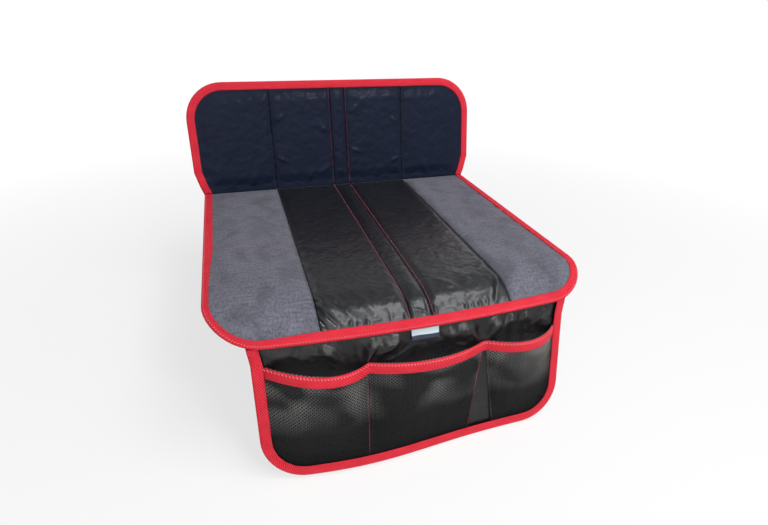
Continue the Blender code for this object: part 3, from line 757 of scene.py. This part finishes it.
tape_material = tape_weave()
PAD_UNDER, PAD_OVER = EDGE_LIFT, EDGE_LIFT + 0.0038
seat_binding = fold_tape(
    "seat_edge_tape", seat_outline, PAD_UNDER, PAD_OVER, seat_form, "seat_binding", Vector((1, 0)),
    shown=tape_share,
)
seat_row = [
    place + (moved - place) * (tape_share(place.x, place.y) * TAPE_WIDTH - 0.0016)
    for place, moved in zip(seat_outline, inset_line(seat_outline, 1.0))
]
sew_tape("seat_tape_stitching", seat_row, seat_form, PAD_OVER, seat_binding)
# Pale overcast stitches slanting over the tape's fold. Their pale colour is partly real stitching and partly a
# painted highlight, the light that the tape's ribs catch along the fold.
pale_thread_and_painted_highlight = thread("pale_red_thread_and_painted_highlight", (0.92, 0.36, 0.40))
sew(
    "seat_tape_overcast_and_painted_highlight", [inset_line(seat_outline, 0.0012)], seat_form, lambda x, y: PAD_OVER,
    [seat_binding], pale_thread_and_painted_highlight, "red_tape", pitch=0.0034, length=0.0024, width=0.0006, slant=math.radians(50),
)

# Back pad: backing, wadding and five face panels like the seat pad's, in line with its seams, leaning on
# the backrest. All five panels are black leatherette, a tape binds both sides and the top, and a row of
# dark stitches closes the hinge.
BACK_WIDTH, BACK_HEIGHT, BACK_CORNER, BACK_TAPER = 0.503, 0.185, 0.060, 0.042
BACK_PADDING, TAPE_ROW = 0.0060, 0.0103


def back_form(x, y, height):
    """Where a point of the back pad's pattern lies; its height counts forwards from its rear."""
    up = y + HINGE_MITRE * height * smooth(-y, -0.020, 0)
    lean, rise = math.sin(RECLINE), math.cos(RECLINE)
    return Vector((x, SEAT_REAR + up * lean - height * rise, up * rise + height * lean))


half_back = BACK_WIDTH / 2
back_outline = [Vector((SEAT_WIDTH / 2, HINGE_GAP)), Vector((half_back, BACK_TAPER))]
back_outline += arc(half_back - BACK_CORNER, BACK_HEIGHT - BACK_CORNER, BACK_CORNER, 0, 90)
back_outline += arc(BACK_CORNER - half_back, BACK_HEIGHT - BACK_CORNER, BACK_CORNER, 90, 180)
back_outline += [Vector((-half_back, BACK_TAPER)), Vector((-SEAT_WIDTH / 2, HINGE_GAP))]


def back_top(x, y):
    return face_top(back_outline, BACK_PADDING, x, y)


make_backing("back", back_outline, back_form)
make_padding("back", back_outline, back_form, BACK_PADDING)
# The back pad's copy of the leatherette is darker and bluer than the seat's: its colour is painted shade, the
# bluish shade the back stands in.
painted_shade_back_leatherette = leatherette("painted_shade_back_leatherette", 0.08, 0.46, (0.005, 0.008, 0.021), (0.009, 0.014, 0.034))
back_cloths = make_face("back", back_outline, back_form, BACK_PADDING, BACK_HEIGHT, painted_shade_back_leatherette)
back_low, back_high = 0.006, BACK_HEIGHT - TAPE_WIDTH + 0.001
sew(
    "back_centre_stitching", uprights((-STRIP_ROW, STRIP_ROW), back_low, back_high),
    back_form, back_top, back_cloths, red_thread, "red_tape",
)
sew(
    "back_bolster_stitching", uprights((-outer, outer), back_low, back_high),
    back_form, back_top, back_cloths, dark_thread, "black_net",
)
back_binding = fold_tape(
    "back_edge_tape", back_outline, PAD_UNDER, PAD_OVER, back_form, "back_binding", Vector((1, 0))
)
sew_tape("back_tape_stitching", inset_line(back_outline, TAPE_ROW), back_form, PAD_OVER, back_binding)
hinge_row = [Vector((side * (SEAT_WIDTH / 2 - 0.0125), SEAT_REAR - 0.0006)) for side in (-1, 1)]
sew(
    "hinge_stitching", [hinge_row], seat_form, seat_top, [], dark_thread, "black_net",
    pitch=0.0030, length=0.0042, width=0.0012,
)

# Flap panel: one layer of black leatherette sewn under the seat pad's front tape, hanging in soft waves. It
# is gathered a little at its top and above the pocket divisions, where it breaks into folds.
FLAP_WIDTH, FLAP_LENGTH, FLAP_CORNER = 0.390, 0.172, 0.050
FLAP_FLARE, FLARE_LENGTH = 0.003, 0.024
FLAP_SWING, FLAP_TWIST = math.radians(11.2), -0.115
SEAM_INSET, FLAP_CELL, FLAP_THICKNESS, TAG_X = 0.0055, 0.0029, 0.0007, 0.003
FLAP_WAVE, WAVE_LENGTH, WAVE_START = 0.0040, 0.310, -0.006
MOUTH_DROP, MOUTH_RISE = 0.0385, 0.0115
POCKETS = {
    "left": (-0.1905, -0.1905, -0.0670, -0.0703, 0.026),
    "middle": (-0.0664, -0.0697, 0.0800, 0.0635, 0.018),
    "right": (0.0838, 0.0980, 0.1905, 0.1905, 0.022),
}
half_flap = FLAP_WIDTH / 2


def flap_form(x, y, height):
    """Where a point of the flap's pattern lies: hung from the tape under the rolled front, in soft waves."""
    drop = -y
    seam = seat_form(x, SEAT_FRONT + SEAM_INSET, 0.0013 - TAPE_WIDTH**2 / (8 * ROLL_RADIUS))
    swing = FLAP_SWING + FLAP_TWIST * x
    down = Vector((0, -math.sin(swing), -math.cos(swing)))
    forwards = Vector((0, -math.cos(swing), math.sin(swing)))
    slope = math.pi / 2 - swing - ROLL_ANGLE * (1 - SEAM_INSET / ROLL_LENGTH)
    mitre = height / math.tan(slope) * smooth(-drop, -0.020, 0)
    wave = FLAP_WAVE * math.sin(2 * math.pi * (WAVE_START - x) / WAVE_LENGTH) * smooth(drop, 0.005, FLAP_LENGTH)
    return seam + down * (drop + 0.0003 / math.sin(slope) + mitre) + forwards * (height + wave)


def flap_side(drop, margin):
    """Half the flap's width, less a margin, round its lower corners."""
    radius = FLAP_CORNER - margin
    past = max(0.0, min(radius, drop - (FLAP_LENGTH - FLAP_CORNER)))
    return half_flap - FLAP_CORNER + math.sqrt(radius**2 - past**2)


def mouth_line(x):
    """Drop of the pocket mouths: level, and rising towards the left-hand edge."""
    return MOUTH_DROP - MOUTH_RISE * smooth(-x, -POCKETS["left"][2], half_flap)


def free_sides(pocket, drop):
    """Left and right x between which a net stands free."""
    left_top, left_foot, right_top, right_foot, _ = POCKETS[pocket]
    share = (drop - MOUTH_DROP) / (FLAP_LENGTH - MOUTH_DROP)
    limit = flap_side(drop, TAPE_WIDTH + 0.001)
    return max(left_top + (left_foot - left_top) * share, -limit), min(
        right_top + (right_foot - right_top) * share, limit
    )


def pocket_bow(x, drop):
    """How far the nets stand off the flap."""
    for pocket, sizes in POCKETS.items():
        left, right = free_sides(pocket, drop)
        if left < x < right:
            across = 1 - ((2 * x - left - right) / (right - left)) ** 2
            return sizes[4] * across * (1 - smooth(drop, MOUTH_DROP, FLAP_LENGTH - TAPE_WIDTH) ** 2)
    return 0.0


flap_edge = [Vector((-half_flap, 0))]
for side in (-1, 1):
    flap_edge += lower_corner(side, half_flap, -FLAP_LENGTH, FLAP_CORNER)
flap_edge += [Vector((half_flap, 0))]
flap_tape_line = [Vector((-half_flap - FLAP_FLARE, 0)), Vector((-half_flap, -FLARE_LENGTH))] + flap_edge[1:-1]
flap_tape_line += [Vector((half_flap, -FLARE_LENGTH)), Vector((half_flap + FLAP_FLARE, 0))]

FLAP_FOLDS = in_metres([
    (-120, -4, -93, -42, 8.5, 5), (-156, -14, -106, -42, 11, 3), (-78, -6, -78, -34, 5, 2),
    (-59, -4, -70.5, -41, 6, 7), (-27, -4, -54, -30, 9, 5.6), (-10, -26, -46, -42, 7, 2),
    (24, -26, 62, -44, 8, 2), (62, -8, 74, -40, 5, 2.6), (102, -4, 79.5, -41, 6.8, 7.4),
    (121, -5, 103, -28, 5, 5), (141, -7, 131, -24, 4.2, 3.6), (168, -10, 150, -34, 8, 2),
    (-10, -80, -30, -150, 12, 1.6), (-120, -80, -100, -150, 14, 1.8), (130, -80, 140, -145, 12, 1.6),
])
# where the cloth springs forward under the tape, in millimetres: x, half its width and how far
SPRUNG = in_metres([
    (-166, 14, 4), (-118, 20, 8), (-62, 9, 8), (-40, 15, 9.4), (36, 13, 8.6), (58, 10, 7.4), (97, 10, 9.4),
    (120, 6, 6), (140, 6, 4.8), (170, 12, 2.6),
])


def panel_height(x, y):
    """How far the panel stands forward: its folds, kept behind the nets and the tag."""
    sprung = sum(height * math.exp(-(((x - middle) / half) ** 2)) for middle, half, height in SPRUNG)
    sprung *= smooth(-y, 0.0025, 0.0155) * (1 - 0.80 * smooth(-y, 0.016, 0.034))
    return min(sprung + folded(FLAP_FOLDS, x, y), panel_room(x, y))


def panel_room(x, y):
    """The most that the panel may stand forward."""
    drop = -y
    room = 0.0102 * smooth(drop, 0.0015, 0.0140)
    beside, below = smooth(abs(x - TAG_X), 0.018, 0.024), smooth(drop, 0.020, 0.026)
    if beside < 1 and below < 1:
        room = min(room, 0.0003 + 0.006 * beside + 0.006 * below)
    edge = edge_distance(flap_edge, x, y, closed=False)
    room = min(room, 0.0002 + 0.5 * max(0.0, edge - TAPE_WIDTH))
    if drop > mouth_line(x) - 0.003:
        room = min(room, 0.0002 + 0.65 * pocket_bow(x, drop))
    return room


flap_cloth = cut_cloth("flap_cloth", flap_edge, FLAP_CELL)
flap_sewn, flap_room = [], []
for vert in flap_cloth.data.vertices:
    x, y = vert.co.x, vert.co.y
    edge = edge_distance(flap_edge, x, y, closed=False)
    divided = -y > mouth_line(x) and pocket_bow(x, -y) < 0.0004
    flap_sewn.append(1.0 if edge < TAPE_WIDTH or -y < 0.002 or divided else 0.0)
    flap_room.append(max(0.0001, panel_room(x, y) - panel_height(x, y)) * 0.8)
lay(flap_cloth, lambda x, y, height: flap_form(
    x * (1 + FLAP_FLARE / half_flap * max(0.0, 1 + y / FLARE_LENGTH)), y, height
), panel_height)
puff(flap_cloth, flap_sewn, 0.020, 0.15, 0.0035, numpy.array(flap_room))
give(flap_cloth, "SUBSURF", levels=1, render_levels=1)
give(flap_cloth, "SOLIDIFY", thickness=FLAP_THICKNESS, offset=0)
flap_leatherette = leatherette("flap_leatherette", 0.26, 0.30, (0.005, 0.005, 0.006), (0.010, 0.009, 0.010))
keep(flap_cloth, flap_leatherette, "black_leatherette", "flap_panel")

# Pocket nets: three pieces of knitted black net, each a little wider than its place so that its mouth
# stands open, sewn in under the flap's tape and along the divisions.
NET_THICKNESS, NET_ON_PANEL, NET_UNDER_TAPE = 0.0009, 0.0010, 0.0021
MESH, YARN, YARN_HEIGHT, NET_HOLD = 0.0042, 0.00084, 0.00050, 0.004


def net_rear(x, y):
    """Height of the nets' rear side, spaced out where tape passes behind them."""
    drop = -y
    edge = edge_distance(flap_tape_line, x, y, closed=False)
    near_edge = 1 - smooth(edge, TAPE_WIDTH + 0.002, TAPE_WIDTH + 0.010)
    near_mouth = 1 - smooth(drop - mouth_line(x), TAPE_WIDTH + 0.002, TAPE_WIDTH + 0.012)
    return NET_ON_PANEL + (NET_UNDER_TAPE - NET_ON_PANEL) * max(near_edge, near_mouth) + pocket_bow(x, drop)


def net_form(x, y, height):
    return flap_form(x, y, net_rear(x, y) + height)


def net_yarn():
    """Black knitted yarn with painted light: a patchy painted glint along its loops near the pocket mouths,
    painted shade lower down.
    """
    material, add = new_material("net_yarn", (0.06, 0.06, 0.06), 0.45, Specular_IOR_Level=0.12)
    loops = texture(add, "Wave", Scale=210.0, Distortion=2.0, Detail=1.0)
    height = add("SeparateXYZ", {"Vector": pattern_map(add)}).outputs["Y"]
    # Painted light: the dark colour is painted shade on the lower nets, the pale one a painted glint near the
    # mouths.
    painted_shade_yarn = between(add, loops, (0.004, 0.005, 0.006), (0.012, 0.013, 0.014))
    painted_glint_yarn = between(add, loops, (0.080, 0.080, 0.078), (0.360, 0.355, 0.345))
    uneven = texture(add, "Noise", (16, 24), Detail=1.0, Distortion=0.4)
    painted_glint_mask = product(add, spread(add, height, -0.115, -0.055), spread(add, uneven, 0.40, 0.62, 0.08, 1.0))
    return dress(material, add, between(add, painted_glint_mask, painted_shade_yarn, painted_glint_yarn), [(loops, 0.0002)])


net_material = net_yarn()


def face_forwards(cloth):
    """Turns a hanging piece's face to the front."""
    if cloth.data.polygons[3].normal.y > 0:
        cloth.data.flip_normals()


def knit(pocket):
    """One pocket's net, a fine lattice cut to the pocket's outline and laid over its bow."""
    left_top, left_foot, right_top, right_foot, bow = POCKETS[pocket]
    low_x, high_x = min(left_top, left_foot), max(right_top, right_foot)
    head, foot = -MOUTH_DROP + 0.002, NET_HOLD - FLAP_LENGTH
    count = math.ceil((high_x - low_x) / MESH + (head - foot) / MESH) + 2
    net = add_mesh(bpy.ops.mesh.primitive_grid_add, x_subdivisions=count, y_subdivisions=count, size=count)
    net.name = net.data.name = f"{pocket}_pocket_net"
    net.rotation_euler = (0, 0, math.pi / 4)
    bpy.ops.object.transform_apply()
    net.scale = (MESH / math.sqrt(2), MESH / math.sqrt(2), 1)
    net.location = ((low_x + high_x) / 2, (head + foot) / 2, 0)
    bpy.ops.object.transform_apply()
    outline = [Vector((left_top, head))]
    for side, outer, foot_x in ((-1, "left", left_foot), (1, "right", right_foot)):
        if pocket == outer:
            outline += lower_corner(side, half_flap, -FLAP_LENGTH, FLAP_CORNER, NET_HOLD)
        else:
            outline.append(Vector((foot_x, foot)))
    outline.append(Vector((right_top, head)))
    bpy.ops.object.mode_set(mode="EDIT")
    bpy.ops.mesh.select_all(action="SELECT")
    bpy.ops.mesh.inset(thickness=YARN / 2, use_individual=True)
    bpy.ops.mesh.delete(type="FACE")
    trim(outline)
    bpy.ops.object.mode_set(mode="OBJECT")
    for vert in net.data.vertices:
        share = (-vert.co.y - MOUTH_DROP) / (FLAP_LENGTH - MOUTH_DROP)
        vert.co.y += (MOUTH_DROP - mouth_line(vert.co.x)) * (1 - share)
    pattern_uvs(net)
    lay(net, flap_form, lambda x, y: net_rear(x, y) + NET_THICKNESS / 2)
    face_forwards(net)
    give(net, "SOLIDIFY", thickness=YARN_HEIGHT, offset=0)
    keep(net, net_material, "black_net", f"pocket_net_{pocket}")


for pocket in POCKETS:
    knit(pocket)

# Pocket divisions: the nets' edges are turned under and sewn down to the flap, with red thread on both
# sides of the middle pocket and grey thread beside the right-hand one.
HEM_INSET, HEM_WIDTH, HEM_ROW = 0.0011, 0.0018, 0.0022


def division_ends(pocket, side):
    """x of a hem's middle at the top and at the foot of a pocket, on its left side 0 or its right side 1."""
    inward = -HEM_INSET if side else HEM_INSET
    return [end + inward for end in POCKETS[pocket][2 * side:2 * side + 2]]


def division(name, pocket, side):
    """A narrow hem of net along a leaning pocket edge."""
    top, foot = division_ends(pocket, side)
    head_y, foot_y = -MOUTH_DROP - 0.004, 0.009 - FLAP_LENGTH
    strip = cut_cloth(name, [
        Vector((-HEM_WIDTH / 2, head_y)), Vector((-HEM_WIDTH / 2, foot_y)),
        Vector((HEM_WIDTH / 2, foot_y)), Vector((HEM_WIDTH / 2, head_y)),
    ], 0.0026)
    lay(strip, lambda x, y, height: flap_form(
        x + top + (foot - top) * (-y - MOUTH_DROP) / (FLAP_LENGTH - MOUTH_DROP), y, height
    ), lambda x, y: 0.0021 if -y < MOUTH_DROP + 0.014 or -y > FLAP_LENGTH - 0.016 else 0.0016)
    face_forwards(strip)
    give(strip, "SOLIDIFY", thickness=0.0007, offset=0)
    keep(strip, net_material, "black_net")
    return strip


def division_line(pocket, side):
    """The row of thread that holds a hem."""
    top, foot = division_ends(pocket, side)
    return [Vector((top, -MOUTH_DROP - TAPE_WIDTH)), Vector((foot, TAPE_WIDTH - FLAP_LENGTH))]


hems = [
    division("left_pocket_hem", "left", 1), division("middle_pocket_left_hem", "middle", 0),
    division("middle_pocket_right_hem", "middle", 1), division("right_pocket_hem", "right", 0),
]
grey_thread = thread("grey_thread", (0.22, 0.22, 0.23))
sew(
    "division_stitching", [division_line("left", 1), division_line("middle", 1)], flap_form,
    lambda x, y: HEM_ROW, hems, red_thread, "red_tape", pitch=0.0030, length=0.0026, width=0.0007,
)
sew(
    "right_division_stitching", [division_line("right", 0)], flap_form,
    lambda x, y: HEM_ROW, hems, grey_thread, "black_net", pitch=0.0036, length=0.0020,
)

# Flap binding: red tape folded round the sides and the bottom of the flap, over the edges of the nets, and
# sewn through them all.
FLAP_UNDER, FLAP_OVER = -0.0004, NET_UNDER_TAPE + NET_THICKNESS


def flap_tape_form(x, y, height):
    """The flap's form, with the tape's ends tucked up against the seat pad's tape."""
    tuck = 0.0024 * smooth(height, 0.0005, 0.0035) * smooth(y, -0.008, 0)
    return flap_form(x, y, height) + Vector((0, 0, tuck))


flap_binding = fold_tape(
    "flap_edge_tape", flap_tape_line, FLAP_UNDER, FLAP_OVER, flap_tape_form, "flap_binding", Vector((1, 0))
)
flap_row = inset_line(flap_tape_line, TAPE_ROW)
sew_tape("flap_tape_stitching", flap_row, flap_form, FLAP_OVER + TAPE_LIFT, flap_binding)

# Pocket mouth tape: one red tape folded over the top edges of all three nets, bowing forward with them.
mouth_end = half_flap - TAPE_WIDTH - 0.0003
mouth_path = [
    Vector((x, -mouth_line(x)))
    for x in (mouth_end - 2 * mouth_end * i / 120 for i in range(121))
]
pocket_binding = fold_tape(
    "pocket_mouth_tape", mouth_path, 0.0, NET_THICKNESS, net_form, "pocket_binding", along=Vector((0, -1)),
)
mouth_row = [place + Vector((0, -TAPE_ROW)) for place in mouth_path]
sew_tape("mouth_stitching", mouth_row, net_form, NET_THICKNESS + TAPE_LIFT, pocket_binding)
# Pale overcast stitches over the mouth tape's upper fold. They are partly real stitching and partly a painted
# highlight of the tape's ribs catching light there.
sew(
    "mouth_overcast_and_painted_highlight", [[place + Vector((0, -0.0011)) for place in mouth_path]], net_form,
    lambda x, y: NET_THICKNESS + TAPE_LIFT, [pocket_binding], pale_thread_and_painted_highlight, "red_tape",
    pitch=0.0036, length=0.0030, width=0.0011, slant=math.radians(-50),
)

# Folded tag: a short satin ribbon folded in half and sewn in under the front tape, pale with a navy lower
# band, and bare.
TAG_WIDTH, TAG_LENGTH = 0.034, 0.019


def satin():
    """Pale blue-white satin with a navy band across the fold."""
    material, add = new_material("satin_ribbon", (0.62, 0.78, 0.86), 0.38, Sheen_Weight=0.2)
    height = add("SeparateXYZ", {"Vector": pattern_map(add)}).outputs["Y"]
    warp = texture(add, "Wave", Scale=700.0, Distortion=0.5)
    pale = between(add, warp, (0.55, 0.72, 0.80), (0.72, 0.85, 0.90))
    base = between(add, spread(add, height, 0.0118, 0.0121), pale, (0.010, 0.020, 0.055))
    return dress(material, add, base, [(warp, 0.00005)])


leaf = cut_cloth("tag_ribbon", [
    Vector((-TAG_WIDTH / 2, 0)), Vector((TAG_WIDTH / 2, 0)),
    Vector((TAG_WIDTH / 2, 2 * TAG_LENGTH)), Vector((-TAG_WIDTH / 2, 2 * TAG_LENGTH)),
], 0.0011)
for vert in leaf.data.vertices:
    x, length = vert.co.x, vert.co.y
    drop = min(length, 2 * TAG_LENGTH - length) - 0.0003
    front = 1 - smooth(length, TAG_LENGTH - 0.0010, TAG_LENGTH + 0.0010)
    curl = 0.0022 * smooth(drop, 0.002, TAG_LENGTH) ** 1.3 + 0.0004 * math.sin(x * 170) * smooth(drop, 0, 0.012)
    vert.co = flap_form(x + TAG_X, -max(0.0, drop), 0.0012 + curl + 0.0007 * front)
face_forwards(leaf)
give(leaf, "SOLIDIFY", thickness=0.00028, offset=0)
keep(leaf, satin(), "woven_tag", "folded_tag")

# The floor and the light of a photographer's table: a white floor that keeps the mat's soft shadow and
# fades into white walls, a darker ceiling, a broad lamp overhead, a narrow bright one and a soft one in
# front.
FLOOR_LEVEL, FLOOR_SIZE, WORLD_LIGHT = -0.1895, 200, 0.20


def seen_ray(add):
    """1 for the rays that meet the white surround: the camera's, and those mirrored or let through."""
    rays = add("LightPath").outputs
    seen = add("Math", {0: rays["Is Camera Ray"], 1: rays["Is Glossy Ray"]}, operation="MAXIMUM")
    return add("Math", {0: seen.outputs[0], 1: rays["Is Transmission Ray"]}, operation="MAXIMUM").outputs[0]


floor = add_mesh(bpy.ops.mesh.primitive_plane_add, size=FLOOR_SIZE, location=(0, 0, FLOOR_LEVEL))
bpy.ops.object.transform_apply()
floor.name = "floor"
floor_material, add = new_material("white_floor", (0.90, 0.90, 0.90), 0.9)
floor_tree = floor_material.node_tree
away = add("VectorMath", {0: add("TexCoord").outputs["Object"]}, operation="LENGTH")
white = spread(add, away.outputs["Value"], 0.45, 1.30, 0.70, 1.0)
lit = floor_tree.nodes["Principled BSDF"].outputs[0]
glow = add("Emission", Strength=1.0).outputs[0]
blend = add("MixShader", {0: product(add, seen_ray(add), white), 1: lit, 2: glow})
floor_tree.links.new(blend.outputs[0], floor_tree.nodes["Material Output"].inputs["Surface"])
floor.data.materials.append(floor_material)

world = bpy.data.worlds.new("studio")
bpy.context.scene.world = world
world.use_nodes = True
sky_tree = world.node_tree
add = node_adder(sky_tree)
sky = sky_tree.nodes["Background"]
sky.inputs["Color"].default_value = (1, 1, 1, 1)
rise = add("SeparateXYZ", {"Vector": add("TexCoord").outputs["Generated"]}).outputs["Z"]
white_wall = product(add, seen_ray(add), spread(add, rise, 0.62, 0.45))
sky_tree.links.new(spread(add, white_wall, 0.0, 1.0, WORLD_LIGHT, 1.0), sky.inputs["Strength"])

for lamp_name, place, aim, size, energy in (
    ("overhead_light", (0.50, -0.62, 1.40), (0, -0.20, 0), (0.85, 0.80), 17),
    ("window_light", (0.50, -1.55, 1.30), (0, -0.25, -0.05), (0.40, 0.20), 11),
    ("front_light", (-0.7, -1.5, 0.8), (0, 0, -0.05), (1.2, 1.2), 6),
):
    lamp = new_object(lamp_name, bpy.data.lights.new(lamp_name, "AREA"))
    lamp.data.shape = "RECTANGLE"
    lamp.data.size, lamp.data.size_y = size
    lamp.data.energy = energy
    lamp.location = place
    lamp.rotation_euler = (Vector(aim) - Vector(place)).to_track_quat("-Z", "Y").to_euler()

bpy.context.scene.view_settings.view_transform = "Standard"
